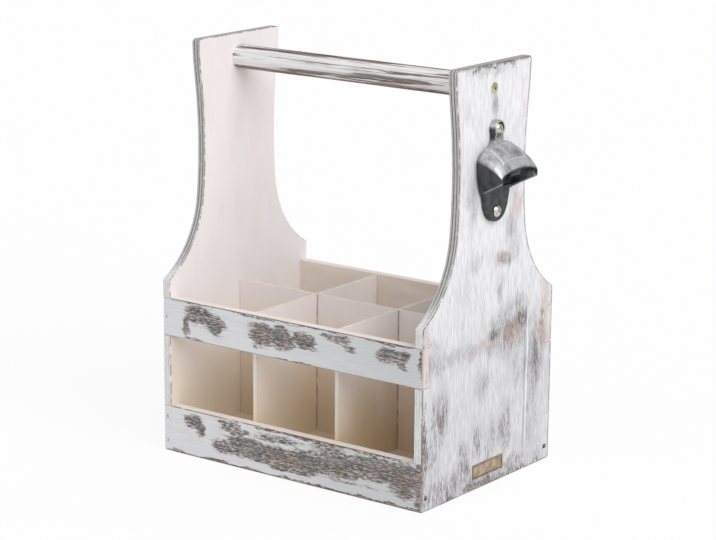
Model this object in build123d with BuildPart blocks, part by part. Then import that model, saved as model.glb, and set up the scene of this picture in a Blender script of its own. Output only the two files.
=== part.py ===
from build123d import *
from math import atan, degrees, radians, tan
import os

os.makedirs("parts", exist_ok=True)

# Driving dimensions, in millimetres.
# The origin lies on the ground under the middle of the carrier.
# X runs along the handle, Y from front to back, Z up.
body_length = 254.0
body_width = 176.0
body_height = 330.0

# Small fits and cuts shared by all pieces
joint_gap = 0.15
hole_clearance = 0.1
overrun = 1.0

# Shaped end panels. Drops are measured down from the crown.
panel_thickness = 7.5
shoulder_height = 142.5
bend_drop = 125.0
bend_width = 92.0
neck_drop = 85.0
neck_width = 88.0
flare_drop = 30.0
flare_width = 95.8
crown_width = 100.6
panel_corner_round = 3.0
panel_edge_bevel = 0.6

# Rails of the open front and back walls
rail_thickness = 8.5
wall_height = 127.5
top_rail_height = 31.0
bottom_rail_height = 38.5
rail_edge_round = 1.0
rail_end_bevel = 0.8
rail_foot_round = 2.2

# Floor board, held in a groove of each bottom rail
floor_thickness = 3.0
floor_height = 9.4
floor_tongue = 4.2

# Lift-out divider grid
cells_along = 3
divider_thickness = 3.0
divider_drop = 1.2
divider_end_gap = 0.4
halving_gap = 0.15

# Handle and its two screws
handle_diameter = 19.0
handle_drop = 19.0
handle_screw_length = 32.0
handle_screw_head_diameter = 8.6
handle_screw_head_angle = 90.0
handle_screw_shank_diameter = 4.0
handle_screw_dome_height = 1.1
handle_screw_tip_length = 5.0
screw_tip_width = 0.4

# Brads of square wire that fix the rails in the notches
brad_length = 20.0
brad_thickness = 1.2
brad_head_width = 2.4
brad_head_height = 0.8
brad_tip_length = 2.0
brad_tip_width = 0.3
bottom_brad_spacing = 20.0

# Cast bottle opener on the right end panel
opener_drop = 80.8
opener_hole_spacing = 63.0
opener_width = 52.0
opener_reach = 24.5
opener_wall = 3.0
opener_back_thickness = 3.0
opener_plate_thickness = 4.2
opener_tab_thickness = 5.0
opener_tab_width = 13.6
opener_tab_bore = 10.4
opener_foot_width = 28.0
opener_foot_bend = 29.0
opener_foot_drop = 39.5
opener_edge_bevel = 0.8
tooth_width = 15.0
tooth_setback = 4.0
tooth_thickness = 2.5
tooth_height = 4.0

# Screws of the opener
opener_screw_head_diameter = 9.4
opener_screw_head_height = 3.0
head_brow_share = 0.75
opener_screw_shank_diameter = 4.0
opener_screw_length = 11.0
opener_screw_tip_length = 3.0

# Bare brass plate low on the right end panel
plate_length = 41.0
plate_height = 11.5
plate_thickness = 0.7
plate_centre_height = 14.6
plate_corner_round = 0.8

# Places that follow from the sizes above
half_length = body_length / 2
half_width = body_width / 2
inner_half_length = half_length - panel_thickness
inner_half_width = half_width - rail_thickness
top_rail_low = wall_height - top_rail_height
bend_height = body_height - bend_drop
neck_height = body_height - neck_drop
flare_height = body_height - flare_drop
handle_height = body_height - handle_drop
opener_height = body_height - opener_drop
floor_top = floor_height + floor_thickness
divider_height = wall_height - divider_drop - floor_top
cell_pitch = (2 * inner_half_length + divider_thickness) / cells_along
cross_place = cell_pitch / 2
bottom_brad_heights = (
    bottom_rail_height / 2 - bottom_brad_spacing / 2,
    bottom_rail_height / 2 + bottom_brad_spacing / 2,
)
top_brad_height = top_rail_low + top_rail_height / 2


def front_wall_brads(gap):
    """The brads of the front wall, or with a gap around them the seats that they are driven into."""
    across = brad_thickness / 2 + gap
    with BuildPart() as brads:
        for end in (-1, 1):
            for height in (*bottom_brad_heights, top_brad_height):
                middle = (end * (half_length - panel_thickness / 2), -half_width, height)
                with BuildSketch(Plane(origin=middle, x_dir=(0, 0, 1), z_dir=(1, 0, 0))):
                    with BuildLine():
                        Polyline(
                            (0, gap),
                            (brad_head_width / 2 + gap, gap),
                            (brad_head_width / 2 + gap, -brad_head_height - gap),
                            (across, -brad_head_height - gap),
                            (across, brad_tip_length - brad_length),
                            (brad_tip_width / 2 + gap, -brad_length - gap),
                            (0, -brad_length - gap),
                            close=True,
                        )
                    make_face()
                    mirror(about=Plane.YZ)
                extrude(amount=across, both=True)
    return brads.part

# End panel, drawn once as the right-hand one: a wide base for the bottles, square shoulders,
# a long hollow curve into the neck and a slight flare up to the flat crown.
with BuildPart() as end_panel:
    with BuildSketch(Plane.YZ.offset(inner_half_length)):
        with BuildLine():
            neck = (neck_width / 2, neck_height)
            hollow = TangentArc(neck, (bend_width / 2, bend_height), tangent=(0, -1))
            sweep_out = TangentArc(hollow @ 1, (half_width, shoulder_height), tangent=hollow % 1)
            flare = TangentArc(neck, (flare_width / 2, flare_height), tangent=(0, 1))
            rise = TangentArc(flare @ 1, (crown_width / 2, body_height), tangent=flare % 1)
            Polyline(sweep_out @ 1, (half_width, 0), (0, 0))
            Line(rise @ 1, (0, body_height))
            mirror(about=Plane.YZ)
        make_face()
    extrude(amount=panel_thickness)
    corners = end_panel.edges().filter_by(Axis.X)
    crown_corners = corners.group_by(Axis.Z)[-1]
    shoulder_corners = corners.filter_by(lambda edge: abs(edge.center().Z - shoulder_height) < joint_gap)
    fillet(crown_corners + shoulder_corners, radius=panel_corner_round)
    chamfer(end_panel.faces().filter_by(Axis.X).edges(), length=panel_edge_bevel)

    # Notches that take the ends of the four rails
    with BuildSketch(Plane.YZ.offset(inner_half_length - overrun)):
        for low, height in ((0, bottom_rail_height), (top_rail_low, top_rail_height)):
            with Locations((-half_width, low + height / 2), (half_width, low + height / 2)):
                Rectangle(2 * (rail_thickness + joint_gap), height + 2 * joint_gap)
    extrude(amount=panel_thickness + 2 * overrun, mode=Mode.SUBTRACT)

    # Seats of the brads, which go through the rails into the panel's edges
    front_seats = front_wall_brads(hole_clearance)
    add(front_seats, mode=Mode.SUBTRACT)
    add(mirror(front_seats, about=Plane.XZ, mode=Mode.PRIVATE), mode=Mode.SUBTRACT)

    # Countersunk hole for the handle screw
    with Locations(Plane(origin=(half_length, 0, handle_height), z_dir=(1, 0, 0))):
        CounterSinkHole(
            radius=handle_screw_shank_diameter / 2 + hole_clearance,
            counter_sink_radius=handle_screw_head_diameter / 2 + hole_clearance,
            counter_sink_angle=handle_screw_head_angle,
            depth=panel_thickness + overrun,
        )

with BuildPart() as left_end_panel:
    mirror(end_panel.part, about=Plane.YZ)
left_end_panel.part.label = "left_end_panel"

# The right panel also has the two bores of the opener's screws.
opener_plane = Plane(origin=(half_length, 0, opener_height), x_dir=(0, 1, 0), z_dir=(1, 0, 0))
opener_screw_places = (-opener_hole_spacing / 2, opener_hole_spacing / 2)
with BuildPart() as right_end_panel:
    add(end_panel.part)
    with Locations(opener_plane):
        with Locations(*[(0, place) for place in opener_screw_places]):
            Hole(
                opener_screw_shank_diameter / 2 + hole_clearance,
                depth=opener_screw_length - opener_plate_thickness + hole_clearance,
            )
right_end_panel.part.label = "right_end_panel"


def front_rail(low, height, foot_round, groove_depth):
    """A rail of the front wall, as long as the carrier, with its ends in the panels' notches."""
    with BuildPart() as rail:
        with BuildSketch(Plane.YZ) as section:
            with Locations((-half_width + rail_thickness / 2, low + height / 2)):
                Rectangle(rail_thickness, height)
            fillet(section.vertices().group_by(Axis.X)[0].sort_by(Axis.Y)[0], radius=foot_round)
            fillet(section.vertices().group_by(Axis.X)[0].sort_by(Axis.Y)[-1], radius=rail_edge_round)
            if groove_depth > 0:
                with Locations((-inner_half_width - groove_depth / 2, floor_height + floor_thickness / 2)):
                    Rectangle(groove_depth, floor_thickness + 2 * joint_gap, mode=Mode.SUBTRACT)
        extrude(amount=half_length, both=True)
        wall_face = rail.faces().sort_by(Axis.Y)[0]
        chamfer(wall_face.edges().filter_by(Axis.Z), length=rail_end_bevel)
        add(front_seats, mode=Mode.SUBTRACT)
    return rail


front_bottom_rail = front_rail(0, bottom_rail_height, rail_foot_round, floor_tongue + joint_gap)
front_bottom_rail.part.label = "front_bottom_rail"

front_top_rail = front_rail(top_rail_low, top_rail_height, rail_edge_round, 0)
front_top_rail.part.label = "front_top_rail"

# The back wall is the front wall turned over.
with BuildPart() as back_bottom_rail:
    mirror(front_bottom_rail.part, about=Plane.XZ)
back_bottom_rail.part.label = "back_bottom_rail"

with BuildPart() as back_top_rail:
    mirror(front_top_rail.part, about=Plane.XZ)
back_top_rail.part.label = "back_top_rail"

# Brads: head flush with the rail's face, shank through the rail into the end panel's edge
with BuildPart() as front_brads:
    add(front_wall_brads(0))
front_brads.part.label = "front_brads"

with BuildPart() as back_brads:
    mirror(front_brads.part, about=Plane.XZ)
back_brads.part.label = "back_brads"

# Floor board: its long edges sit in the rails' grooves and its ends meet the end panels.
with BuildPart() as floor_board:
    with BuildSketch(Plane.XY.offset(floor_height)):
        Rectangle(2 * (inner_half_length - joint_gap), 2 * (inner_half_width + floor_tongue))
    extrude(amount=floor_thickness)
floor_board.part.label = "floor_board"

# Divider grid: one long board down the middle, halved with two cross boards,
# so that it makes six cells and lifts out whole.
slot_width = divider_thickness + 2 * halving_gap
slot_depth = divider_height / 2 + halving_gap

with BuildPart() as long_divider:
    with BuildSketch(Plane.XZ.offset(-divider_thickness / 2)):
        with Locations((0, floor_top + divider_height / 2)):
            Rectangle(2 * (inner_half_length - divider_end_gap), divider_height)
        with Locations((-cross_place, floor_top + divider_height), (cross_place, floor_top + divider_height)):
            Rectangle(slot_width, 2 * slot_depth, mode=Mode.SUBTRACT)
    extrude(amount=divider_thickness)
long_divider.part.label = "long_divider"

with BuildPart() as right_cross_divider:
    with BuildSketch(Plane.YZ.offset(cross_place - divider_thickness / 2)):
        with Locations((0, floor_top + divider_height / 2)):
            Rectangle(2 * (inner_half_width - divider_end_gap), divider_height)
        with Locations((0, floor_top)):
            Rectangle(slot_width, 2 * slot_depth, mode=Mode.SUBTRACT)
    extrude(amount=divider_thickness)
right_cross_divider.part.label = "right_cross_divider"

with BuildPart() as left_cross_divider:
    mirror(right_cross_divider.part, about=Plane.YZ)
left_cross_divider.part.label = "left_cross_divider"

# Handle: a round dowel between the end panels, with a pilot hole for a screw in each end
with BuildPart() as handle_dowel:
    with BuildSketch(Plane.YZ.offset(-inner_half_length)):
        with Locations((0, handle_height)):
            Circle(handle_diameter / 2)
    extrude(amount=2 * inner_half_length)
    pilot_depth = handle_screw_length - panel_thickness + overrun
    for end in (-1, 1):
        with Locations(Plane(origin=(end * inner_half_length, 0, handle_height), z_dir=(end, 0, 0))):
            Hole(handle_screw_shank_diameter / 2 + hole_clearance, depth=pilot_depth)
handle_dowel.part.label = "handle_dowel"

# Flat of a raised screw head, as a share of its radius
head_flat_share = 0.4
# Width of a screw's square point where it begins, as a share of the shank's diameter
point_share = 0.7


def screw_point(seat, length, shank_diameter, tip_length):
    """Four-sided point of a screw that runs from its seat against the X direction."""
    width = point_share * shank_diameter
    with BuildPart() as point:
        start = (seat[0] - length + tip_length, seat[1], seat[2])
        with BuildSketch(Plane(origin=start, z_dir=(-1, 0, 0))):
            Rectangle(width, width)
        extrude(amount=tip_length, taper=degrees(atan((width - screw_tip_width) / 2 / tip_length)))
    return point.part


# Handle screw: raised countersunk head, plain shank, pointed tip, turned about its axis
head_radius = handle_screw_head_diameter / 2
shank_radius = handle_screw_shank_diameter / 2
cone_depth = (head_radius - shank_radius) / tan(radians(handle_screw_head_angle / 2))
handle_seat = (half_length, 0, handle_height)
with BuildPart() as right_handle_screw:
    with BuildSketch(Plane.XZ.shift_origin(handle_seat)):
        with BuildLine():
            Polyline(
                (handle_screw_dome_height, 0),
                (handle_screw_dome_height, head_flat_share * head_radius),
                (0, head_radius),
                (-cone_depth, shank_radius),
                (handle_screw_tip_length - handle_screw_length, shank_radius),
                (handle_screw_tip_length - handle_screw_length, 0),
                close=True,
            )
        make_face()
    revolve(axis=Axis(handle_seat, (1, 0, 0)))
    add(
        screw_point(
            handle_seat, handle_screw_length, handle_screw_shank_diameter, handle_screw_tip_length
        )
    )
right_handle_screw.part.label = "right_handle_screw"

with BuildPart() as left_handle_screw:
    mirror(right_handle_screw.part, about=Plane.YZ)
left_handle_screw.part.label = "left_handle_screw"

# Bottle opener: an iron casting with a flat plate against the panel, a screw tab on top, a hood
# that bows out over the mouth, and a foot that tapers down to the second screw.
# Each row gives one outline of the hood, from the wall out to the lip, as shares of the opener's
# size: how far out, corner half width, corner height, crown height and skirt height.
hood_outline_shares = (
    (0.0, 0.87, 0.124, 0.3, -0.26),
    (0.2, 1.0, 0.132, 0.36, -0.25),
    (0.75, 0.985, 0.06, 0.2, -0.137),
    (1.0, 0.935, -0.036, 0.08, -0.1),
)
# How far the skirt's sides draw in, as a share of their height
skirt_taper_share = 0.2


def hood_outline(place, half, corner, crown, low, inset):
    """Outline of the hood on a plane parallel to the wall, or set in from it as a hollow."""
    with BuildSketch(opener_plane.offset(place)) as outline:
        with BuildLine():
            side = (half * opener_width / 2 - inset, corner * opener_hole_spacing - inset)
            low_height = low * opener_hole_spacing
            low_half = side[0] - skirt_taper_share * (side[1] - low_height)
            top = (0, crown * opener_hole_spacing - inset)
            bow = ThreePointArc((-side[0], side[1]), top, side)
            Polyline(bow @ 1, (low_half, low_height), (-low_half, low_height), bow @ 0)
        make_face()
    return outline.sketch


with BuildPart() as opener_hood:
    loft([hood_outline(row[0] * opener_reach, *row[1:], 0) for row in hood_outline_shares], ruled=True)

# Plate against the wall: bowed shoulders inside the hood, and the tapered foot
shoulder_share, corner_share, crown_share = hood_outline_shares[0][1:4]
with BuildPart() as opener_plate:
    with BuildSketch(opener_plane):
        with BuildLine():
            foot = (opener_foot_width / 2, -opener_foot_bend)
            toe = ThreePointArc((-foot[0], foot[1]), (0, -opener_foot_drop), foot)
            shoulder = (shoulder_share * opener_width / 2, corner_share * opener_hole_spacing)
            top = (0, crown_share * opener_hole_spacing)
            bow = ThreePointArc((-shoulder[0], shoulder[1]), top, shoulder)
            Line(toe @ 1, bow @ 1)
            Line(toe @ 0, bow @ 0)
        make_face()
    extrude(amount=opener_plate_thickness)
    chamfer(opener_plate.faces().sort_by(Axis.X)[-1].edges(), length=opener_edge_bevel)

# Screw tab, which grows out of the hood's crown
with BuildPart() as opener_tab:
    with BuildSketch(opener_plane):
        tab_low = crown_share * opener_hole_spacing - opener_wall
        tab_rise = opener_hole_spacing / 2 - tab_low
        with Locations((0, tab_low + tab_rise / 2)):
            Rectangle(opener_tab_width, tab_rise)
        with Locations((0, opener_hole_spacing / 2)):
            Circle(opener_tab_width / 2)
    extrude(amount=opener_tab_thickness)
    chamfer(opener_tab.faces().sort_by(Axis.X)[-1].edges(), length=opener_edge_bevel)

# Tooth behind the lip that catches the cap's edge, grown up into the hood
with BuildPart() as opener_tooth:
    lip_height = hood_outline_shares[-1][3] * opener_hole_spacing - opener_wall
    tooth_end = opener_reach - tooth_setback
    with BuildSketch(Plane.XZ.shift_origin((half_length, 0, opener_height))):
        with BuildLine():
            Polyline(
                (opener_reach, lip_height),
                (tooth_end, lip_height - tooth_height),
                (tooth_end - tooth_thickness, lip_height - tooth_height),
                (tooth_end - 2 * tooth_thickness, lip_height),
                (tooth_end - 2 * tooth_thickness, opener_hole_spacing / 2),
                (opener_reach, opener_hole_spacing / 2),
                close=True,
            )
        make_face()
    extrude(amount=tooth_width / 2, both=True)
    add(opener_hood.part, mode=Mode.INTERSECT)

# Hollow of the mouth, open in front and below, and higher behind the lip for the cap
with BuildPart() as opener_hollow:
    lip, brow, skirt_low = hood_outline_shares[-1], hood_outline_shares[-2], hood_outline_shares[0][-1]
    extrude(
        hood_outline(opener_back_thickness, *lip[1:-1], skirt_low, opener_wall),
        amount=opener_reach - opener_back_thickness + overrun,
    )
    extrude(
        hood_outline(opener_back_thickness, lip[1], *brow[2:-1], skirt_low, opener_wall),
        amount=brow[0] * opener_reach - opener_wall - opener_back_thickness,
    )

# The whole casting, with its two screw holes
with BuildPart() as bottle_opener:
    add(opener_hood.part)
    add(opener_plate.part)
    add(opener_tab.part)
    add(opener_hollow.part, mode=Mode.SUBTRACT)
    add(opener_tooth.part)
    with Locations(opener_plane.offset(opener_tab_thickness)):
        with Locations((0, opener_screw_places[-1])):
            CounterBoreHole(
                radius=opener_screw_shank_diameter / 2 + hole_clearance,
                counter_bore_radius=opener_tab_bore / 2,
                counter_bore_depth=opener_tab_thickness - opener_plate_thickness,
                depth=opener_tab_thickness + overrun,
            )
    with Locations(opener_plane.offset(opener_plate_thickness)):
        with Locations((0, opener_screw_places[0])):
            Hole(
                opener_screw_shank_diameter / 2 + hole_clearance,
                depth=opener_plate_thickness + overrun,
            )
bottle_opener.part.label = "bottle_opener"


def opener_screw(place):
    """Round-headed screw through the opener into the end panel."""
    head_radius = opener_screw_head_diameter / 2
    shank_radius = opener_screw_shank_diameter / 2
    seat = (half_length + opener_plate_thickness, 0, opener_height + place)
    with BuildPart() as screw:
        with BuildSketch(Plane.XZ.shift_origin(seat)):
            with BuildLine():
                Polyline(
                    (opener_screw_head_height, 0),
                    (opener_screw_head_height, head_flat_share * head_radius),
                    (opener_screw_head_height * head_brow_share, head_brow_share * head_radius),
                    (0, head_radius),
                    (0, shank_radius),
                    (opener_screw_tip_length - opener_screw_length, shank_radius),
                    (opener_screw_tip_length - opener_screw_length, 0),
                    close=True,
                )
            make_face()
        revolve(axis=Axis(seat, (1, 0, 0)))
        add(
            screw_point(
                seat, opener_screw_length, opener_screw_shank_diameter, opener_screw_tip_length
            )
        )
    return screw


lower_opener_screw = opener_screw(opener_screw_places[0])
lower_opener_screw.part.label = "lower_opener_screw"
upper_opener_screw = opener_screw(opener_screw_places[1])
upper_opener_screw.part.label = "upper_opener_screw"

# Small brass plate, glued flat on the panel and left bare
with BuildPart() as blank_plate:
    with BuildSketch(Plane.YZ.offset(half_length)):
        with Locations((0, plate_centre_height)):
            RectangleRounded(plate_length, plate_height, plate_corner_round)
    extrude(amount=plate_thickness)
blank_plate.part.label = "blank_plate"

pieces = (
    left_end_panel,
    right_end_panel,
    front_bottom_rail,
    front_top_rail,
    back_bottom_rail,
    back_top_rail,
    front_brads,
    back_brads,
    floor_board,
    long_divider,
    left_cross_divider,
    right_cross_divider,
    handle_dowel,
    left_handle_screw,
    right_handle_screw,
    bottle_opener,
    lower_opener_screw,
    upper_opener_screw,
    blank_plate,
)
for piece in pieces:
    export_step(piece.part, f"parts/{piece.part.label}.step")
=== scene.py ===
import math

import bmesh
import bpy
from mathutils import Matrix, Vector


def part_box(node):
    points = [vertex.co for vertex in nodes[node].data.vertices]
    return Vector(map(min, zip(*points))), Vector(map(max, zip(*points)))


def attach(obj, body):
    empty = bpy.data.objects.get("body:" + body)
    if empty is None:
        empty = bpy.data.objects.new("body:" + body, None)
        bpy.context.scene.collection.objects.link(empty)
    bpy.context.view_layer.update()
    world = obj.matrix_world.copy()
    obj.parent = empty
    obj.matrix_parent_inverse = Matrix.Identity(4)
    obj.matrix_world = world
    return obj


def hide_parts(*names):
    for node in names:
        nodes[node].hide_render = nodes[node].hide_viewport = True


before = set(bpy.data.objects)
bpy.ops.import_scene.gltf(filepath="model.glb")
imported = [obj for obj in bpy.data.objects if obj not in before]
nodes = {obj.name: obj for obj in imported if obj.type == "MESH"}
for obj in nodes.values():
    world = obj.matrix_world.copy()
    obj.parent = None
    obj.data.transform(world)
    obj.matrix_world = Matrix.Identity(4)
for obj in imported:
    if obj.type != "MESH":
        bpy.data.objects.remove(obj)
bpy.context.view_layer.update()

# End panels: two shaped boards of thin plywood, brushed white and rubbed back along the grain,
# with the plies showing on their edges. Their inner faces only have a thin wash, darkened towards
# the floor by painted shade. Rails are let into them, the handle is screwed between them.


def tone(red, green, blue):
    """Linear colour of a tone given as it looks, 0 to 255."""
    linear = []
    for level in (red, green, blue):
        share = level / 255
        linear.append(share / 12.92 if share < 0.04 else ((share + 0.055) / 1.055) ** 2.4)
    return (*linear, 1)


class Coat:
    """A value, colour or vector over a surface. Operators on values add Math nodes."""

    def __init__(self, tree, socket):
        self.tree = tree
        self.socket = socket

    def node(self, kind, settings, inputs, output=0):
        """Adds a node: its settings are set first, then values or links go to its sockets.
        The stops of a ramp are pairs of a place and a grey level."""
        made = self.tree.nodes.new(kind)
        for name, value in settings.items():
            if name == "stops":
                stops = made.color_ramp.elements
                stops.remove(stops[-1])
                stops[0].position, stops[0].color = value[0][0], (*[value[0][1]] * 3, 1)
                for position, level in value[1:]:
                    stops.new(position).color = (*[level] * 3, 1)
            else:
                setattr(made, name, value)
        for name, value in inputs.items():
            if isinstance(value, Coat):
                self.tree.links.new(value.socket, made.inputs[name])
            else:
                made.inputs[name].default_value = value
        return Coat(self.tree, made.outputs[output])

    def math(self, operation, first, second=0.0):
        return self.node("ShaderNodeMath", {"operation": operation}, {0: first, 1: second})

    def __add__(self, other):
        return self.math("ADD", self, other)

    def __sub__(self, other):
        return self.math("SUBTRACT", self, other)

    def __mul__(self, other):
        return self.math("MULTIPLY", self, other)

    def __truediv__(self, other):
        return self.math("DIVIDE", self, other)

    __radd__ = __add__
    __rmul__ = __mul__

    def __rsub__(self, other):
        return self.math("SUBTRACT", other, self)

    def __rtruediv__(self, other):
        return self.math("DIVIDE", other, self)

    def __abs__(self):
        return self.math("ABSOLUTE", self)

    def larger(self, other):
        return self.math("MAXIMUM", self, other)

    def smaller(self, other):
        return self.math("MINIMUM", self, other)

    def ease(self, low, high):
        """0 at low and 1 at high, with a soft start and end."""
        inputs = {"Value": self, "From Min": low, "From Max": high}
        return self.node("ShaderNodeMapRange", {"interpolation_type": "SMOOTHSTEP"}, inputs)

    def between(self, first, second):
        """This share of the way from one colour to another."""
        return self.node("ShaderNodeMix", {"data_type": "RGBA"}, {0: self, 6: first, 7: second}, 2)

    def split(self):
        """The vector's three values."""
        return [self.node("ShaderNodeSeparateXYZ", {}, {0: self}, axis) for axis in range(3)]

    def grain(self, lengths, start, detail=3.0, roughness=0.6):
        """Noise about 0.5 with grains of these lengths in mm along X, Y and Z. Each start gives
        another pattern."""
        scale = [1 / size for size in lengths]
        inputs = {"Vector": self, "Location": (start, start, start), "Scale": scale}
        stretched = self.node("ShaderNodeMapping", {}, inputs)
        inputs = {"Vector": stretched, "Scale": 1.0, "Detail": detail, "Roughness": roughness}
        return self.node("ShaderNodeTexNoise", {}, inputs)


def new_finish(name):
    """A blank material, with the place on the piece in mm and the direction that the face looks."""
    material = bpy.data.materials.new(name)
    material.use_nodes = True
    tree = material.node_tree
    tree.nodes.clear()
    seat = tree.nodes.new("ShaderNodeTexCoord")
    place = Coat(tree, seat.outputs["Object"])
    place = place.node("ShaderNodeVectorMath", {"operation": "SCALE"}, {0: place, "Scale": 1000.0})
    return material, place, Coat(tree, seat.outputs["Normal"])


def finish_with(material, colour, roughness, height, depth, metallic=0.0):
    """Closes a material: one shader, with a bump as deep in metres as a height of 1."""
    tree = material.node_tree
    bump = height.node("ShaderNodeBump", {}, {"Height": height, "Distance": depth, "Strength": 1.0})
    inputs = {"Base Color": colour, "Roughness": roughness, "Metallic": metallic, "Normal": bump}
    shader = colour.node("ShaderNodeBsdfPrincipled", {}, inputs)
    output = tree.nodes.new("ShaderNodeOutputMaterial")
    tree.links.new(shader.socket, output.inputs["Surface"])


def coat_with(piece, material):
    """Gives a piece its finish, all over."""
    piece.data.materials.clear()
    piece.data.materials.append(material)


def spots(across, up, rows):
    """Strength of rubbed spots. A row has its middle across and up, half width, half height and
    strength, in mm."""
    total = None
    for middle, height, half_width, half_height, strength in rows:
        aside = (across - middle) * (1 / half_width)
        above = (up - height) * (1 / half_height)
        reach = aside * aside + above * above
        spot = strength / (1 + reach * reach)
        total = spot if total is None else total.larger(spot)
    return total


def lengths_along(axis, along, across):
    """Grain lengths for a board whose grain runs along one axis."""
    lengths = [across, across, across]
    lengths["xyz".index(axis)] = along
    return lengths


def rubbed_paint(place, axis, worn, thin, start, hairs, fine, paint_tone_and_shade):
    """White paint brushed along the grain, thin in some spots and rubbed to the wood in others.
    The hairs of the brush have this length in mm, and fine says how much they show."""
    hair = place.grain(lengths_along(axis, hairs, 0.7), start + 1.3, 2.0)
    streak = place.grain(lengths_along(axis, hairs * 2, 2.2), start + 5.9, 3.0)
    fleck = place.grain(lengths_along(axis, 4.5, 0.9), start + 7.7, 2.0)
    cloud = place.grain(lengths_along(axis, 24, 12), start + 11.5, 4.0)

    # The noises make the outlines of the spots ragged along the grain
    thin = thin + (cloud - 0.5) * 1.0 + (streak - 0.5) * 0.9
    thin = thin + (hair - 0.5) * 1.1 + (fleck - 0.5) * 0.9
    thinness = thin.ease(0.1, 1.0)
    worn = worn + (cloud - 0.5) * 0.5 + (streak - 0.5) * 0.5
    worn = worn + (hair - 0.5) * 0.6 + (fleck - 0.5) * 0.7
    # Flecks of paint are kept in the pores of the bare wood, fewer where it is most worn
    blotch = place.grain(lengths_along(axis, 22, 8), start + 15.2)
    kept = place.grain(lengths_along(axis, 4.5, 0.9), start + 17.9, 2.0)
    flecks = (kept + (blotch - 0.5) * 0.3).ease(0.51, 0.58) * 0.85 * worn.ease(1.7, 0.7)
    bare = worn.ease(0.4, 0.56) * (1 - flecks)

    white = (hair.ease(0.44, 0.6) * fine).between(paint_tone_and_shade, tone(172, 172, 177))
    dark_hair = (hair + (fleck - 0.5) * 0.7).ease(0.62, 0.38)
    grey = dark_hair.between(tone(208, 206, 209), tone(108, 105, 108))
    white = thinness.between(white, grey)
    wood = blotch.ease(0.44, 0.6).between(tone(146, 142, 139), tone(168, 143, 126))
    wood = ((hair + (kept - 0.5) * 0.6).ease(0.6, 0.42) * 0.82).between(wood, tone(80, 74, 72))
    colour = bare.between(white, wood)
    height = bare * -1.0 + (hair - 0.5) * 0.6 + (fleck - 0.5) * 0.3
    roughness = bare * 0.22 + thinness * 0.08 + 0.56
    return colour, roughness, height, hair, fleck


def wash_and_depth_shade(place, axis, start, deep_shade_tone, top):
    """A thin white wash that lets the pale wood through. From the top height in mm down to the
    floor it
    turns darker and warmer: painted shade of the deep cells."""
    hair = place.grain(lengths_along(axis, 30, 0.9), start + 2.4, 2.0)
    cloud = place.grain(lengths_along(axis, 60, 20), start + 6.2)
    # Painted shade of the deep cells: the wash is darker and warmer towards the floor.
    deep = (place.split()[2] + (cloud - 0.5) * 60).ease(top, 15)
    colour = deep.between(tone(239, 233, 234), deep_shade_tone)
    colour = (cloud.ease(0.42, 0.66) * 0.22).between(colour, tone(228, 216, 208))
    colour = (hair.ease(0.5, 0.72) * 0.07).between(colour, tone(196, 172, 150))
    return colour, (hair - 0.5) * 0.5


# Where the right panel's faces lie, and a panel's size, in mm
low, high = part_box("right_end_panel")
panel_inner = low.x * 1000
panel_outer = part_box("front_top_rail")[1].x * 1000
panel_half_width = high.y * 1000
panel_height = high.z * 1000
# Spots of the right panel by their place to the back and up, in mm: worn to the wood, with
# thin paint, and blushed with the wood's warmth
panel_spots = {
    "right": {
        "start": 0.0,
        "worn": (
            (30, 118, 15, 11, 0.62), (42, 124, 10, 11, 0.56), (12, 119, 12, 5, 0.5),
            (63, 92, 9, 13, 0.5), (74, 118, 5, 32, 0.52), (18, 329, 9, 2.6, 0.9),
            (-8, 329, 12, 2.4, 0.8), (-24, 328, 7, 3, 0.6), (17, 178, 9, 7, 0.52),
            (-14, 3, 28, 5.0, 0.66), (-45, 1.0, 22, 3.0, 0.62), (40, 2, 44, 3.2, 0.56),
            (-86, 48, 4.5, 44, 0.72), (33, 217, 8, 12, 0.42), (-64, 66, 7, 10, 0.5),
            (-81, 114, 5, 24, 0.44),
        ),
        "thin": (
            (28, 118, 32, 19, 0.85), (38, 134, 18, 14, 0.6), (13, 151, 5, 9, 0.75),
            (63, 92, 16, 26, 0.8), (37, 88, 6, 16, 0.6), (-9, 81, 10, 12, 0.6),
            (30, 200, 12, 16, 0.6), (-71, 116, 10, 16, 0.7), (-66, 68, 11, 20, 0.8),
            (-30, 112, 46, 8, 0.55), (17, 178, 20, 8, 0.6), (-16, 38, 7, 16, 0.7),
            (4, 32, 8, 16, 0.65), (23, 40, 7, 22, 0.8), (-74, 34, 8, 20, 0.6),
            (-33, 20, 9, 20, 0.8), (60, 50, 9, 40, 0.55), (-60, 10, 40, 13, 0.75),
            (10, 8, 60, 7, 0.75), (0, 298, 5, 14, 0.8), (-27, 225, 9, 18, 0.7),
            (-24, 180, 16, 8, 0.5), (-2, 326, 40, 6, 0.55), (28, 186, 14, 14, 0.55),
            (-35, 303, 6, 14, 0.4), (-36, 160, 8, 30, 0.35), (0, 270, 4, 14, 0.5),
        ),
        "blushed": (
            (-84, 128, 6, 20, 1.0), (77, 122, 9, 34, 1.0), (34, 216, 9, 13, 1.0),
            (14, 178, 12, 6, 0.9), (0, 112, 32, 7, 0.7), (33, 116, 18, 11, 0.8),
            (-42, 290, 6, 26, 0.6), (40, 300, 5, 24, 0.5),
        ),
    },
}
# The left panel is worn in much the same places, turned round
panel_spots["left"] = {"start": 41.0}
for kind in ("worn", "thin", "blushed"):
    rows = [row for row in panel_spots["right"][kind] if row[1] < 290 or row[1] > 320]
    panel_spots["left"][kind] = tuple((-row[0], *row[1:]) for row in rows)
# Outline of a panel: height and half width, as shares of the greatest
panel_outline = (
    (0.0, 1.0), (0.432, 1.0), (0.455, 0.869), (0.485, 0.747), (0.515, 0.661), (0.545, 0.6),
    (0.576, 0.557), (0.606, 0.53), (0.667, 0.509), (0.742, 0.5), (0.818, 0.509), (0.879, 0.53),
    (0.939, 0.558), (1.0, 0.572),
)


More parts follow.
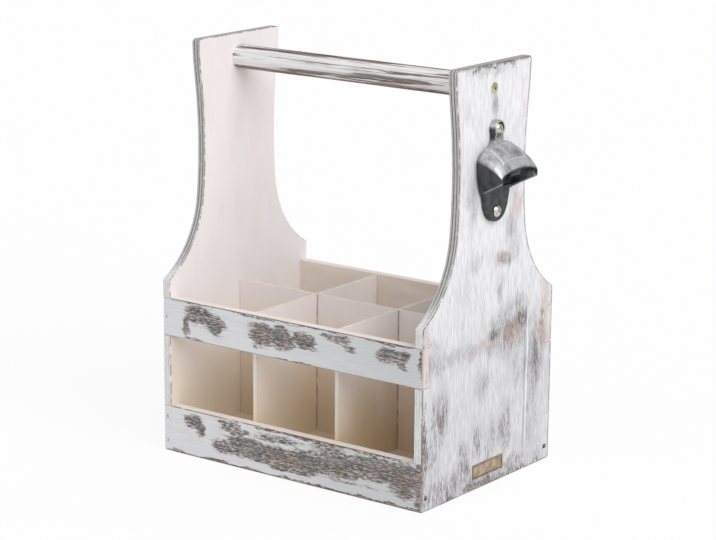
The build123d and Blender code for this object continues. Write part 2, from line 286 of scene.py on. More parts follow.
def panel_paint(place, side, beyond=0.0):
    """The paint on the outer face of an end panel: with all its spots, or just with those that
    reach beyond this distance from its middle line, in mm."""
    wear = panel_spots[side]
    start = wear["start"]
    y, z = place.split()[1:]
    # The spots are bent out of round
    sway = place.grain((10, 10, 24), start + 3.1) - 0.5
    sway_more = place.grain((9, 9, 19), start + 9.7) - 0.5
    bent_y, bent_z = y + sway * 16, z + sway_more * 16
    strength = {}
    for kind in ("worn", "thin", "blushed"):
        rows = [row for row in wear[kind] if abs(row[0]) + row[2] > beyond]
        strength[kind] = spots(bent_y, bent_z, rows)
    # Low down the paint is thinner and greyer: partly wear, partly painted shade where the light
    # falls off.
    low_down = z.ease(230, 40)
    worn, thin = strength["worn"], strength["thin"] * 0.95 + low_down * 0.2 + 0.03
    unworn_paint_and_shade = low_down.between(tone(238, 237, 240), tone(217, 217, 220))
    painted = rubbed_paint(place, "z", worn, thin, start, 11, low_down * 0.3 + 0.35, unworn_paint_and_shade)
    colour, roughness, height, hair, fleck = painted

    # Some places show the wood's warmth through the paint
    warmth = place.grain((5, 5, 14), start + 27, 4.0, 0.7)
    blush = (strength["blushed"] + (warmth - 0.5) * 1.6 + (hair - 0.5) * 0.8).ease(0.35, 1.1)
    colour = (blush * 0.55).between(colour, tone(198, 175, 164))

    # Two lines of the grain run up near the back: one kept its paint, one lost it
    line_height = z.ease(12, 24) * z.ease(136, 118) * (0.45 + warmth.ease(0.35, 0.55) * 0.55)
    grain_y = y + sway * 3
    painted_line = abs(grain_y - 53).ease(1.1, 0.5) * line_height * 0.8
    colour = painted_line.between(colour, tone(240, 239, 241))
    open_line = abs(grain_y - 49.5).ease(0.9, 0.3) * line_height * 0.6
    colour = open_line.between(colour, tone(120, 117, 118))

    # The outline is rubbed dark in a narrow ragged band, fainter to the front
    share_up = z * (1 / panel_height)
    half_width = z.node("ShaderNodeValToRGB", {"stops": panel_outline}, {0: share_up})
    inside = (half_width * panel_half_width - abs(y)).smaller(panel_height - z).smaller(z * 1.4)
    rub = place.grain((9, 9, 9), start + 37, 4.0, 0.7)
    ragged = (rub + (fleck - 0.5) * 0.8 + inside.ease(2, 0.6) * 0.14).ease(0.38, 0.5)
    band = inside.ease(3.2, 0.8) * ragged * (y.ease(-8, 8) * 0.6 + 0.4)
    colour = (band * 0.85).between(colour, tone(118, 113, 110))
    return colour, roughness, height, fleck


for side in ("right", "left"):
    start = panel_spots[side]["start"]
    material, place, facing = new_finish(side + "_panel_paint")
    x, _, z = place.split()
    look_x = facing.split()[0]
    outward = look_x if side == "right" else look_x * -1.0

    colour, roughness, height, fleck = panel_paint(place, side)
    # The inner face's wash, with its painted shade low down.
    wash, wash_height = wash_and_depth_shade(place, "z", start + 20, tone(238, 226, 206), 135)
    inner = outward.ease(-0.4, -0.8)
    colour = inner.between(colour, wash)
    height = height * (1 - inner) + wash_height * inner
    roughness = roughness * (1 - inner) + inner * 0.62

    # Sawn edge: the dark plies show through the paint as broken lines, most of all on the necks
    depth_in = (abs(x) - panel_inner) * (1 / (panel_outer - panel_inner))
    ply = abs(depth_in - 0.30).ease(0.085, 0.03).larger(abs(depth_in - 0.66).ease(0.085, 0.03))
    dash = place.grain((2, 14, 14), start + 30, 3.0)
    neck = z.ease(140, 165)
    ply = ply * (dash + neck * 0.12).ease(0.4, 0.56) * (neck * 0.7 + 0.3)
    sawn = place.grain((1.2, 3, 3), start + 33, 3.0)
    edge_colour = neck.between(tone(230, 231, 231), tone(196, 195, 196))
    rough = sawn.ease(0.4, 0.7) * (neck * 0.3 + 0.3)
    edge_colour = rough.between(edge_colour, tone(158, 156, 156))
    edge_colour = (ply * 0.9).between(edge_colour, tone(84, 80, 82))
    edge = abs(look_x).ease(0.45, 0.25)
    colour = edge.between(colour, edge_colour)
    height = height * (1 - edge) - ply * edge * 0.8

    # Arrises, rubbed through by hand
    arris = abs(look_x).ease(0.3, 0.5) * abs(look_x).ease(0.92, 0.8)
    rub = place.grain((9, 9, 9), start + 37, 4.0, 0.7)
    arris = arris * (rub + (fleck - 0.5) * 0.6).ease(0.36, 0.52)
    colour = (arris * 0.85).between(colour, tone(118, 106, 100))
    finish_with(material, colour, roughness, height, 0.00012)
    coat_with(nodes[side + "_end_panel"], material)

# Rails: four straight boards let into the end panels' edges and flush with them.
# Outside they have the same rubbed white paint, with the grain lying down, and their ends are
# painted over with the panels. Inside and on their upper and lower edges the wood is bare.

# Worn spots of the front rails, by their place to the right and up, in mm
rail_spots = {
    "front_top_rail": (
        (-90, 118, 15, 7.5, 1.0), (-72, 113, 9, 8, 0.9), (-102, 108, 4, 11, 0.85),
        (-96, 97, 9, 1.6, 0.8), (-26, 114, 13, 9, 1.05), (-6, 114, 12, 9, 0.95),
        (16, 116, 13, 6, 0.95), (45, 122, 16, 3.4, 0.8), (60, 116, 9, 3, 0.62),
        (96, 117.5, 11, 6, 1.05), (108, 116, 6, 8, 0.9), (126, 115, 3.0, 10, 1.0),
        (-66, 126.8, 50, 1.1, 0.66), (30, 127, 70, 0.9, 0.64), (95, 127, 40, 0.9, 0.66),
        (5, 96.6, 40, 0.9, 0.6), (-30, 104, 9, 3, 0.55),
    ),
    "front_bottom_rail": (
        (-96, 29, 9, 6, 0.95), (-89, 24, 4, 6, 0.95), (-68, 34, 3.4, 1.2, 1.0),
        (-54, 31, 14, 6, 0.72), (-66, 15, 14, 6, 0.74), (-40, 19, 24, 8, 1.0),
        (-14, 17, 24, 9, 1.0), (16, 18, 26, 10, 1.0), (50, 22, 24, 11, 1.0),
        (84, 26, 24, 11, 1.0), (110, 24, 20, 13, 1.0), (126, 20, 5, 22, 1.0),
        (30, 37.6, 90, 1.3, 0.8), (60, 1.0, 90, 1.7, 0.9), (-60, 1.2, 70, 1.9, 0.9),
        (112, 12, 12, 6, 0.7), (60, 10, 30, 3, 0.5), (-10, 31, 30, 5, 0.6), (40, 34, 20, 4, 0.66),
    ),
}
# The back rails are worn in the same places, turned round
for height in ("top", "bottom"):
    rows = rail_spots["front_" + height + "_rail"]
    rail_spots["back_" + height + "_rail"] = tuple((-row[0], *row[1:]) for row in rows)
# Middle of the floor's grooves, off the carrier's middle and up, in mm
groove_y, groove_z = 81.4, 10.7
for number, (rail, rows) in enumerate(rail_spots.items()):
    start = 60.0 + 13 * number
    material, place, facing = new_finish(rail.replace("rail", "rail_paint"))
    x, y, z = place.split()
    look_x, look_y, _ = facing.split()
    outward = look_y * (-1.0 if rail.startswith("front") else 1.0)
    bent_x = x + (place.grain((22, 8, 8), start + 3.1) - 0.5) * 16
    bent_z = z + (place.grain((20, 8, 8), start + 9.7) - 0.5) * 10
    # The unworn paint darkens towards the right end: painted shade.
    unworn_paint_and_shade = x.ease(-60, 127).between(tone(227, 227, 229), tone(208, 209, 210))
    worn = spots(bent_x, bent_z, rows)
    painted = rubbed_paint(place, "x", worn, worn * 0.9 - 0.06, start, 24, 0.16, unworn_paint_and_shade)
    colour, roughness, height, hair, fleck = painted

    cloud = place.grain((40, 6, 12), start + 21)
    bare = cloud.ease(0.35, 0.65).between(tone(244, 236, 230), tone(238, 227, 216))
    bare = (hair.ease(0.5, 0.7) * 0.09).between(bare, tone(190, 166, 146))
    unpainted = outward.ease(0.45, 0.2)
    colour = unpainted.between(colour, bare)
    height = height * (1 - unpainted) + (hair - 0.5) * unpainted * 0.5

    # Ends, with the panels' paint and a warm strip up the front
    right_end = panel_paint(place, "right", 74)[0]
    left_end = panel_paint(place, "left", 74)[0]
    ends = x.ease(-1, 1).between(left_end, right_end)
    strip = y.ease(-80, -82) * z.ease(94, 97)
    ends = (strip * 0.5).between(ends, tone(226, 206, 200))
    colour = abs(look_x).ease(0.45, 0.6).between(colour, ends)
    # Ends of the floor's grooves: painted shade inside them
    groove_shade = abs(abs(y) - groove_y).ease(2.6, 2.3) * abs(z - groove_z).ease(2.6, 2.3)
    groove_shade = groove_shade * abs(x).ease(118, 119) * abs(look_x).ease(0.8, 0.5)
    colour = (groove_shade * 0.95).between(colour, tone(30, 27, 26))

    # Long arrises, rubbed through but for where they cross the panels
    rub = place.grain((16, 3, 3), start + 25, 4.0, 0.7)
    arris = abs(look_y).ease(0.97, 0.85) * abs(look_y).ease(0.12, 0.3) * outward.ease(0.0, 0.1)
    arris = arris * (rub + (fleck - 0.5) * 0.5).ease(0.32, 0.46)
    arris = arris * (1 - abs(x).ease(118, 120) * 0.75)
    colour = (arris * 0.9).between(colour, tone(104, 90, 82))
    finish_with(material, colour, roughness, height, 0.00014)
    coat_with(nodes[rail], material)

# Brads: nails of square wire, driven through the rails into the panels' edges.
# Their heads sit flush under the last of the paint, dull and dark.
material, place, facing = new_finish("brad_steel")
rust = place.grain((1.2, 1.2, 1.2), 4.0)
colour = rust.ease(0.4, 0.6).between(tone(196, 196, 194), tone(112, 98, 88))
finish_with(material, colour, rust * 0.3 + 0.4, rust, 0.00003)
for brads in ("front_brads", "back_brads"):
    coat_with(nodes[brads], material)

# Floor board: thin plywood that slides into a groove of each bottom rail and carries the
# bottles. It has the same thin wash as the inside with its painted shade, scuffed by them, and dark
# ends.
material, place, facing = new_finish("floor_wash_and_shade")
colour, height = wash_and_depth_shade(place, "x", 140.0, tone(226, 209, 182), 135)
scuff = place.grain((16, 16, 16), 150.0, 4.0, 0.7)
colour = (scuff.ease(0.45, 0.7) * 0.4).between(colour, tone(206, 178, 152))
colour = abs(facing.split()[0]).ease(0.5, 0.8).between(colour, tone(60, 50, 44))
finish_with(material, colour, scuff * 0.1 + 0.6, height, 0.0001)
coat_with(nodes["floor_board"], material)

# Divider grid: three thin plywood boards halved into each other, washed on their faces with painted
# shade low down, and bare along their upper edges. The grid lifts out as one.
# Their low tones are painted shade, darkest on the right cross divider, in the cell that the right
# panel shades.
for divider, start, deep_shade_tone in (
    ("long_divider", 160.0, tone(222, 203, 178)),
    ("left_cross_divider", 175.0, tone(229, 212, 187)),
    ("right_cross_divider", 190.0, tone(208, 188, 157)),
):
    material, place, facing = new_finish(divider.replace("divider", "divider_wash_and_shade"))
    x, y, _ = place.split()
    look_z = facing.split()[2]
    colour, height = wash_and_depth_shade(place, "z", start, deep_shade_tone, 146)
    # The halved joints have dark gaps, just off the faces of the boards that cross this one
    low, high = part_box("right_cross_divider" if divider == "long_divider" else "long_divider")
    if divider == "long_divider":
        aside = abs(abs(x) - (low.x + high.x) * 500) - (high.x - low.x) * 500
    else:
        aside = abs(y) - high.y * 1000
    gap = abs(aside - 0.3).ease(0.9, 0.2) * place.grain((6, 6, 6), start + 11).ease(0.3, 0.55)
    colour = (gap * 0.6).between(colour, tone(126, 104, 90))
    sawn = place.grain((6, 6, 1.0), start + 7)
    bare = sawn.ease(0.35, 0.65).between(tone(236, 226, 218), tone(222, 209, 198))
    colour = look_z.ease(0.4, 0.8).between(colour, bare)
    finish_with(material, colour, sawn * 0.1 + 0.58, height, 0.0001)
    coat_with(nodes[divider], material)

# Handle: a turned dowel between the end panels, held by a screw in each end. It is painted
# white and worn along its length by hands and sanding.
material, place, facing = new_finish("dowel_paint")
x = place.split()[0]
streak = place.grain((130, 4.0, 4.0), 210.0, 3.0)
hair = place.grain((60, 0.8, 0.8), 214.0, 2.0)
fleck = place.grain((12, 1.4, 1.4), 218.0, 2.0)
look_y, look_z = facing.split()[1:]
# The upper back is rubbed in a long strip, narrower to the right. The underside and the right
# half of the front are darker too, in the colours of the bare wood.
limit = x.ease(-60, 90) * 0.45 - 0.5
strip = (look_y - limit).ease(-0.08, 0.08) * look_z.ease(0.2, 0.5) + look_z.ease(-0.5, -0.8)
strip = strip.larger(abs(look_z + 0.2).ease(0.3, 0.1) * abs(x - 35).ease(70, 20) * 1.2)
worn = (streak - 0.5) * 2.6 + (hair - 0.5) * 0.9 + (fleck - 0.5) * 0.4 + 0.39 + strip * 0.42
bare = worn.ease(0.46, 0.62)
blotch = place.grain((60, 6, 6), 222.0)
wood = blotch.ease(0.4, 0.6).between(tone(142, 137, 135), tone(160, 136, 120))
wood = (hair.ease(0.56, 0.44) * 0.9).between(wood, tone(72, 66, 66))
white = (hair.ease(0.46, 0.6) * 0.5).between(tone(240, 239, 240), tone(168, 165, 167))
colour = bare.between(white, wood)
finish_with(material, colour, bare * 0.2 + 0.42, (hair - 0.5) * 0.6 - bare, 0.00012)
coat_with(nodes["handle_dowel"], material)

# Handle screws: brass, with a raised countersunk head and a cross recess, driven through the
# panels into the ends of the handle. Both are the same, the left one turned round.


def settle(name):
    """Names the new piece and puts its place, turn and size into its mesh."""
    bpy.ops.object.transform_apply(location=True, rotation=True, scale=True)
    piece = bpy.context.object
    piece.name = name
    return piece


def pick(piece, wanted):
    """In edit mode, selects just the points whose place in mm passes the test."""
    shape = bmesh.from_edit_mesh(piece.data)
    for point in shape.verts:
        point.select_set(False)
    shape.select_flush(False)
    for point in shape.verts:
        if wanted(*(length * 1000 for length in point.co)):
            point.select_set(True)
    shape.select_flush(True)
    bmesh.update_edit_mesh(piece.data)


def shape_by(piece, kind, **settings):
    """Adds a modifier to a piece and applies it."""
    bpy.context.view_layer.objects.active = piece
    change = piece.modifiers.new(kind.lower(), kind)
    for name, value in settings.items():
        setattr(change, name, value)
    bpy.ops.object.modifier_apply(modifier=change.name)


def cut_by(piece, cutter):
    """Takes one piece out of another, and the cutter away."""
    shape_by(piece, "BOOLEAN", operation="DIFFERENCE", solver="EXACT", use_self=True, object=cutter)
    bpy.data.objects.remove(cutter)


def head_profile(radius, rise):
    """Points from the middle of a domed head to its rim: mm along its axis and mm off it."""
    ball = (radius * radius + rise * rise) / (2 * rise)
    turns = [math.asin(radius / ball) * step / 10 for step in range(11)]
    return [(rise - ball + ball * math.cos(turn), ball * math.sin(turn)) for turn in turns]


def turned_screw(name, seat, profile, recess):
    """A screw turned about a line along X through its seat, from the points of its profile, with
    a cross recess of this reach in mm."""
    bpy.ops.object.select_all(action="DESELECT")
    start = (seat[0] + profile[0][0] / 1000, seat[1], seat[2])
    bpy.ops.mesh.primitive_plane_add(size=0.001, location=start)
    screw = settle(name)
    bpy.ops.object.mode_set(mode="EDIT")
    bpy.ops.mesh.select_mode(type="VERT")
    bpy.ops.mesh.select_all(action="SELECT")
    bpy.ops.mesh.merge(type="CENTER")
    for before, after in zip(profile, profile[1:]):
        step = ((after[0] - before[0]) / 1000, 0, (after[1] - before[1]) / 1000)
        bpy.ops.mesh.extrude_region_move(TRANSFORM_OT_translate={"value": step})
    bpy.ops.mesh.select_all(action="SELECT")
    bpy.ops.mesh.spin(steps=64, angle=2 * math.pi, center=seat, axis=(1, 0, 0))
    bpy.ops.mesh.select_all(action="SELECT")
    bpy.ops.mesh.remove_doubles(threshold=0.000001)
    bpy.ops.mesh.normals_make_consistent(inside=False)
    bpy.ops.object.mode_set(mode="OBJECT")
    for turn in (25, 115):
        bpy.ops.object.select_all(action="DESELECT")
        bpy.ops.mesh.primitive_cube_add(
            size=0.001,
            location=start,
            rotation=(math.radians(turn), 0, 0),
            scale=(recess, recess * 2, recess * 0.4),
        )
        blade = settle("recess_blade")
        bpy.ops.object.mode_set(mode="EDIT")
        pick(blade, lambda x, y, z: x < start[0] * 1000)
        bpy.ops.transform.resize(value=(1, 0.5, 0.5), center_override=start)
        bpy.ops.object.mode_set(mode="OBJECT")
        cut_by(screw, blade)
    bpy.ops.object.select_all(action="DESELECT")
    screw.select_set(True)
    bpy.context.view_layer.objects.active = screw
    bpy.ops.object.shade_smooth_by_angle(angle=math.radians(35))
    return screw


def twin_of(piece, name, change):
    """A copy of a piece with its own mesh, put in its place by a matrix."""
    twin = piece.copy()
    twin.data = piece.data.copy()
    twin.name = name
    bpy.context.scene.collection.objects.link(twin)
    twin.data.transform(change)
    return twin


def dress(piece, node, material):
    """The detailed piece gets its finish and takes the place of a CAD node of the carrier."""
    coat_with(piece, material)
    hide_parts(node)
    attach(piece, "carrier")


low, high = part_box("right_handle_screw")
handle_seat = (panel_outer / 1000, (low.y + high.y) / 2, (low.z + high.z) / 2)
# The domed head, its countersunk underside, the shank and the point
profile = head_profile(4.3, 1.1)
profile += [(-0.3, 4.25), (-2.4, 2.0), (-27, 2.0), (-31.8, 0.2), (-31.8, 0)]
right_screw = turned_screw("brass_screw_right", handle_seat, profile, 2.2)
material, place, facing = new_finish("screw_brass")
tarnish = place.grain((1.5, 1.5, 1.5), 230.0)
colour = tarnish.ease(0.35, 0.65).between(tone(226, 220, 190), tone(158, 150, 112))
finish_with(material, colour, tarnish * 0.25 + 0.12, tarnish, 0.00002, 1.0)
left_screw = twin_of(right_screw, "brass_screw_left", Matrix.Rotation(math.pi, 4, "Z"))
dress(right_screw, "right_handle_screw", material)
dress(left_screw, "left_handle_screw", material)

# Bottle opener: one iron casting, screwed to the right end panel through its tab and its foot. The
# hood bows out over the mouth and a tooth behind the lip catches the cap. The casting was blackened
# all over and then rubbed bright on the hood and the rims, with painted light on top and painted
# shade inside.


def on_wall(out, side, up):
    """A point in metres: mm out from the panel's face, mm to the back and mm up."""
    return (panel_outer / 1000 + out / 1000, side / 1000, up / 1000)


def joined(pieces):
    """One mesh of several pieces, named as the first."""
    bpy.ops.object.select_all(action="DESELECT")
    for piece in pieces:
        piece.select_set(True)
    bpy.context.view_layer.objects.active = pieces[0]
    bpy.ops.object.join()
    return pieces[0]


seat_heights = []
for screw in ("upper_opener_screw", "lower_opener_screw"):
    low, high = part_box(screw)
    seat_heights.append((low.z + high.z) * 500)
tab_height, foot_height = seat_heights
# The screws' seats lie this far out from the panel, in mm
seat_out = 4.2
# Turns a round primitive so that it looks out from the panel
turned_out = (0, math.pi / 2, 0)

# Hood: a tube of outlines, narrow at the wall, lower at the lip and turned in there. Each row has
# how far out it lies, its half width, the height of its widest place, its rise to the crown and
# the reach of its skirt below, in mm.
hood_rows = (
    (0.3, 22.8, 256.8, 11.2, 40.5),
    (4.8, 25.8, 257.4, 14.2, 37.0),
    (11.0, 25.8, 255.8, 12.4, 31.0),
    (18.0, 25.7, 252.8, 9.4, 25.0),
    (21.8, 25.2, 249.8, 7.9, 21.0),
    (24.1, 24.6, 247.6, 6.8, 30.0),
    (24.4, 23.2, 247.1, 5.6, 30.0),
    (23.2, 22.0, 247.4, 4.8, 30.0),
)
out, half, height, rise, skirt = hood_rows[0]
bpy.ops.object.select_all(action="DESELECT")
bpy.ops.mesh.primitive_circle_add(
    vertices=96,
    radius=0.001,
    fill_type="NGON",
    location=on_wall(out, 0, height),
    rotation=turned_out,
)
hood = settle("hood")
bpy.ops.object.mode_set(mode="EDIT")
bpy.ops.mesh.select_mode(type="VERT")
bpy.ops.mesh.select_all(action="SELECT")
bpy.ops.transform.resize(value=(1, half, rise), center_override=on_wall(out, 0, height))
for before, after in zip(hood_rows, hood_rows[1:]):
    step = ((after[0] - before[0]) / 1000, 0, (after[2] - before[2]) / 1000)
    bpy.ops.mesh.extrude_region_move(TRANSFORM_OT_translate={"value": step})
    growth = (1, after[1] / before[1], after[3] / before[3])
    bpy.ops.transform.resize(value=growth, center_override=on_wall(after[0], 0, after[2]))
bpy.ops.mesh.delete(type="ONLY_FACE")
for out, half, height, rise, skirt in hood_rows:
    pick(hood, lambda x, y, z: abs(x - panel_outer - out) < 0.1 and z < height - 0.01)
    bpy.ops.transform.resize(value=(1, 1, skirt / rise), center_override=on_wall(out, 0, height))
bpy.ops.mesh.select_all(action="SELECT")
bpy.ops.mesh.bisect(plane_co=on_wall(2.5, 0, 232.4), plane_no=(-0.46, 0, 0.888), clear_inner=True)
bpy.ops.mesh.select_all(action="SELECT")
bpy.ops.mesh.normals_make_consistent(inside=False)
bpy.ops.object.mode_set(mode="OBJECT")
shape_by(hood, "SOLIDIFY", thickness=0.0028, offset=-1)

# Foot plate: tapered down to a round toe; its upper edge is the step that bears on the cap.
bpy.ops.object.select_all(action="DESELECT")
bpy.ops.mesh.primitive_cube_add(size=1, location=on_wall(2.2, 0, 228), scale=(0.004, 0.05, 0.016))
foot = settle("foot")
bpy.ops.object.mode_set(mode="EDIT")
for side in (-1, 1):
    bpy.ops.mesh.select_all(action="SELECT")
    bpy.ops.mesh.bisect(
        plane_co=on_wall(0, side * 17.8, 235),
        plane_no=(0, side, -0.24),
        clear_outer=True,
        use_fill=True,
    )
bpy.ops.object.mode_set(mode="OBJECT")
bpy.ops.object.select_all(action="DESELECT")
bpy.ops.mesh.primitive_cylinder_add(
    vertices=96, radius=0.0142, depth=0.004, location=on_wall(2.2, 0, 223.9), rotation=turned_out
)
toe = settle("toe")

# Tab: a round end with a raised rim around its screw, on a neck that spreads into the hood.
bpy.ops.object.select_all(action="DESELECT")
bpy.ops.mesh.primitive_cylinder_add(
    vertices=96,
    radius=0.0068,
    depth=0.0048,
    location=on_wall(2.6, 0, tab_height),
    rotation=turned_out,
)
tab = settle("tab")
bpy.ops.object.select_all(action="DESELECT")
bpy.ops.mesh.primitive_torus_add(
    major_segments=96,
    minor_segments=16,
    major_radius=0.0058,
    minor_radius=0.0009,
    location=on_wall(5.0, 0, tab_height),
    rotation=turned_out,
)
rim = settle("rim")
bpy.ops.object.select_all(action="DESELECT")
bpy.ops.mesh.primitive_plane_add(size=0.0048, location=on_wall(2.6, 0, 281))
neck = settle("neck")
bpy.ops.object.mode_set(mode="EDIT")
bpy.ops.mesh.select_all(action="SELECT")
bpy.ops.transform.resize(value=(1, 2.67, 1), center_override=on_wall(2.6, 0, 281))
# Each step goes down in mm and then grows wider by this factor
neck_steps = ((3, 0.94), (3, 0.96), (2.5, 1.04), (2.5, 1.14), (2, 1.28), (1.5, 1.4), (3, 1.3))
for drop, growth in neck_steps:
    bpy.ops.mesh.extrude_region_move(TRANSFORM_OT_translate={"value": (0, 0, -drop / 1000)})
    bpy.ops.transform.resize(value=(1, growth, 1), center_override=on_wall(2.6, 0, 0))
bpy.ops.mesh.select_all(action="SELECT")
bpy.ops.mesh.normals_make_consistent(inside=False)
bpy.ops.object.mode_set(mode="OBJECT")

# Tooth: a short tongue hanging from the hood's inside, just behind the lip.
bpy.ops.object.select_all(action="DESELECT")
bpy.ops.mesh.primitive_cube_add(
    size=1, location=on_wall(18.6, 0, 252), scale=(0.0055, 0.0145, 0.0096)
)
tooth = settle("tooth")
bpy.ops.object.mode_set(mode="EDIT")
pick(tooth, lambda x, y, z: z < 248)
bpy.ops.transform.resize(value=(0.5, 0.84, 1), center_override=on_wall(19.4, 0, 247))
bpy.ops.object.mode_set(mode="OBJECT")

# The bodies are cast in one: the seats and bores of the screws are sunk, then one skin runs
# over all and is eased.
casting = joined((hood, foot, toe, tab, rim, neck, tooth))
for height in (tab_height, foot_height):
    for radius, start in ((5.1, seat_out), (2.1, -1)):
        bpy.ops.object.select_all(action="DESELECT")
        bpy.ops.mesh.primitive_cylinder_add(
            vertices=64,
            radius=radius / 1000,
            depth=0.01,
            location=on_wall(start + 5, 0, height),
            rotation=turned_out,
        )
        cut_by(casting, settle("seat_cutter"))
casting.name = "opener_casting"
shape_by(casting, "REMESH", mode="VOXEL", voxel_size=0.0004, use_smooth_shade=True)
shape_by(casting, "SMOOTH", factor=0.5, iterations=6)

material, place, facing = new_finish("opener_iron")
x, y, z = place.split()
look_x, _, look_z = facing.split()
out = x - panel_outer
skin = place.grain((1.3, 1.3, 1.3), 240.0, 4.0, 0.7)
cloud = place.grain((7, 7, 7), 246.0, 3.0)
# Plain raised border on the hood, a rounded oblong
border = (abs(y) * (1 / 15.0)).larger(abs(out - 13.5) * (1 / 6.0))
line = abs(border - 1.0).ease(0.12, 0.05) * look_z.ease(0.2, 0.4)
# Lighter on the hood's upper side and on the tab's face: rubbed bright, and painted light on the
# faces that look up and out
rubbed = look_z.ease(-0.02, 0.45) * z.ease(238, 246)
rubbed = rubbed.larger(look_x.ease(0.6, 0.9) * z.ease(262, 268) * 0.72)
rubbed = rubbed * ((cloud - 0.5) * 1.2 + (skin - 0.5) * 1.2 + 0.84).ease(0.1, 0.95)
# The seats around the screws stay black
off_tab, off_foot = z - tab_height, z - foot_height
around = (off_tab * off_tab).smaller(off_foot * off_foot) + y * y
rubbed = rubbed * around.ease(22, 30)
# The skirts' lower edges, which rise outwards, are lighter too: rubbed bright, and a painted
# highlight along them
above_edge = z - 231.0 - out * 0.518
edge = above_edge.ease(2.0, 0.8) * above_edge.ease(-2.6, -1.6)
rubbed = rubbed.larger(edge * abs(y).ease(18, 21) * out.ease(3, 6) * 0.5)
# Black is the blackened iron and painted shade under and inside the hood; bright is the rubbed iron
# and painted light.
black_and_shade = cloud.ease(0.35, 0.65).between(tone(58, 61, 62), tone(82, 85, 86))
bright = cloud.ease(0.35, 0.65).between(tone(180, 180, 182), tone(204, 204, 206))
colour = rubbed.between(black_and_shade, bright)
colour = (line * 0.6).between(colour, tone(226, 226, 228))
height = skin * 0.6 + line * 1.6
finish_with(material, colour, skin * 0.3 + 0.36 - rubbed * 0.06, height, 0.00035, 0.75)
dress(casting, "bottle_opener", material)

# Opener screws: zinc plated, with domed heads and cross recesses. The upper one sits inside the
# tab's rim, the lower one on the foot plate.
lower_seat = on_wall(seat_out, 0, foot_height)
profile = [(along + 0.4, off) for along, off in head_profile(4.6, 2.4)]
profile += [(0, 4.5), (0, 2.0), (-8, 2.0), (-10.8, 0.2), (-10.8, 0)]
lower_screw = turned_screw("zinc_screw_lower", lower_seat, profile, 2.2)
material, place, facing = new_finish("screw_zinc")
tarnish = place.grain((1.5, 1.5, 1.5), 250.0)
colour = tarnish.ease(0.35, 0.65).between(tone(228, 226, 214), tone(182, 180, 166))
finish_with(material, colour, tarnish * 0.25 + 0.12, tarnish, 0.00002, 1.0)
rise = Matrix.Translation((0, 0, (tab_height - foot_height) / 1000))
upper_screw = twin_of(lower_screw, "zinc_screw_upper", rise)
dress(lower_screw, "lower_opener_screw", material)
dress(upper_screw, "upper_opener_screw", material)

# Plate: a small oblong of aged brass sheet, glued to the right end panel. Its face is bare and
# sunk inside a fine border.
low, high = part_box("blank_plate")
bpy.ops.object.select_all(action="DESELECT")
bpy.ops.mesh.primitive_cube_add(size=1, location=(low + high) / 2, scale=high - low)
brass = settle("brass_sheet")
bpy.ops.object.mode_set(mode="EDIT")
bpy.ops.mesh.select_all(action="SELECT")
bpy.ops.mesh.bevel(offset=0.0002, segments=2, affect="EDGES")
pick(brass, lambda x, y, z: x > high.x * 1000 - 0.01)
bpy.ops.mesh.inset(thickness=0.0007)
bpy.ops.mesh.inset(thickness=0.0002)
bpy.ops.transform.translate(value=(-0.0003, 0, 0))
bpy.ops.mesh.select_all(action="SELECT")
bpy.ops.mesh.normals_make_consistent(inside=False)
bpy.ops.object.mode_set(mode="OBJECT")
material, place, facing = new_finish("plate_brass")
_, y, z = place.split()
brush = place.grain((1, 3, 1.2), 260.0, 4.0, 0.7)
cloud = place.grain((2, 7, 5), 264.0, 3.0)
middle, half_size = (low + high) * 500, (high - low) * 500
inside = (half_size.y - abs(y - middle.y)).smaller(half_size.z - abs(z - middle.z))
groove = abs(inside - 1.1).ease(0.5, 0.25).larger(inside.ease(0.25, 0.1) * 0.6)
colour = cloud.ease(0.38, 0.62).between(tone(190, 171, 146), tone(158, 137, 112))
colour = (brush.ease(0.5, 0.66) * 0.6).between(colour, tone(126, 104, 84))
colour = (groove * 0.8).between(colour, tone(92, 70, 54))
finish_with(material, colour, brush * 0.3 + 0.3, brush, 0.00006, 0.6)
dress(brass, "blank_plate", material)

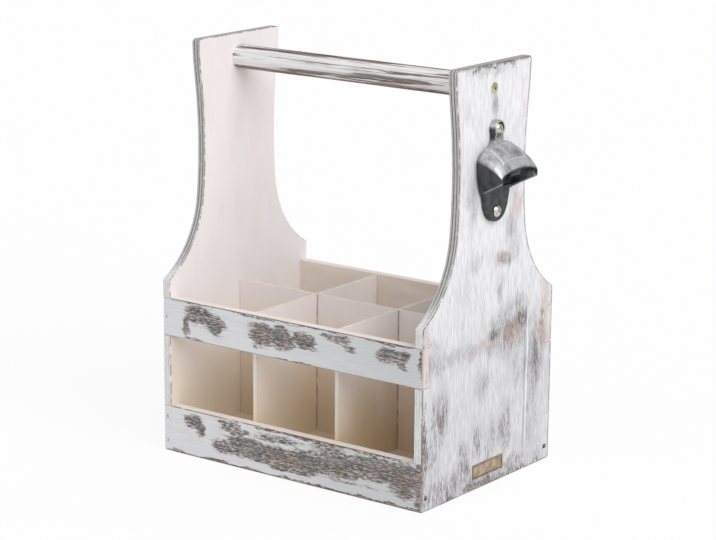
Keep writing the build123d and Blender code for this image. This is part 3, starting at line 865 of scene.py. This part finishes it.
# Studio: a pale floor that shows white and keeps a soft shadow, plain air, one wide soft light
# and the camera of the photograph.
bpy.ops.mesh.primitive_plane_add(size=12)
floor = bpy.context.object
floor.name = "studio_floor"
material = bpy.data.materials.new("studio_white")
material.use_nodes = True
tree = material.node_tree
tree.nodes.clear()
path = tree.nodes.new("ShaderNodeLightPath")
seen = Coat(tree, path.outputs["Is Camera Ray"])
mirrored = Coat(tree, path.outputs["Is Glossy Ray"])
through = Coat(tree, path.outputs["Is Transmission Ray"])
shown = seen.larger(mirrored).larger(through)
plain = shown.node("ShaderNodeBsdfDiffuse", {}, {"Color": (0.9, 0.9, 0.9, 1)})
bright = shown.node("ShaderNodeEmission", {}, {"Color": (1, 1, 1, 1), "Strength": 1.0})
floor_look = shown.node("ShaderNodeMixShader", {}, {0: shown * 0.9, 1: plain, 2: bright})
output = tree.nodes.new("ShaderNodeOutputMaterial")
tree.links.new(floor_look.socket, output.inputs["Surface"])
floor.data.materials.append(material)

world = bpy.data.worlds.new("studio_air")
bpy.context.scene.world = world
world.use_nodes = True
tree = world.node_tree
tree.nodes.clear()
path = tree.nodes.new("ShaderNodeLightPath")
seen = Coat(tree, path.outputs["Is Camera Ray"])
soft_air = seen.node("ShaderNodeBackground", {}, {"Color": (1, 1, 1, 1), "Strength": 0.58})
white_air = seen.node("ShaderNodeBackground", {}, {"Color": (1, 1, 1, 1), "Strength": 1.0})
air = seen.node("ShaderNodeMixShader", {}, {0: seen, 1: soft_air, 2: white_air})
output = tree.nodes.new("ShaderNodeOutputWorld")
tree.links.new(air.socket, output.inputs["Surface"])

sun_data = bpy.data.lights.new("window_light", "SUN")
sun_data.energy = 1.8
sun_data.angle = math.radians(50)
sun = bpy.data.objects.new("window_light", sun_data)
bpy.context.scene.collection.objects.link(sun)
sun.rotation_euler = (math.radians(50), 0, math.radians(70))

camera_data = bpy.data.cameras.new("photo_camera")
camera_data.sensor_width = 36
camera_data.lens = 124.45
camera = bpy.data.objects.new("photo_camera", camera_data)
bpy.context.scene.collection.objects.link(camera)
# It looks in from the front right and a little down, almost upright
stand = Matrix.Translation((1.1407, -1.5228, 0.6146))
turn = Matrix.Rotation(0.6426, 4, "Z") @ Matrix.Rotation(math.pi / 2 - 0.2385, 4, "X")
camera.matrix_world = stand @ turn @ Matrix.Rotation(0.0075, 4, "Z")
bpy.context.scene.camera = camera
bpy.context.scene.view_settings.view_transform = "Standard"
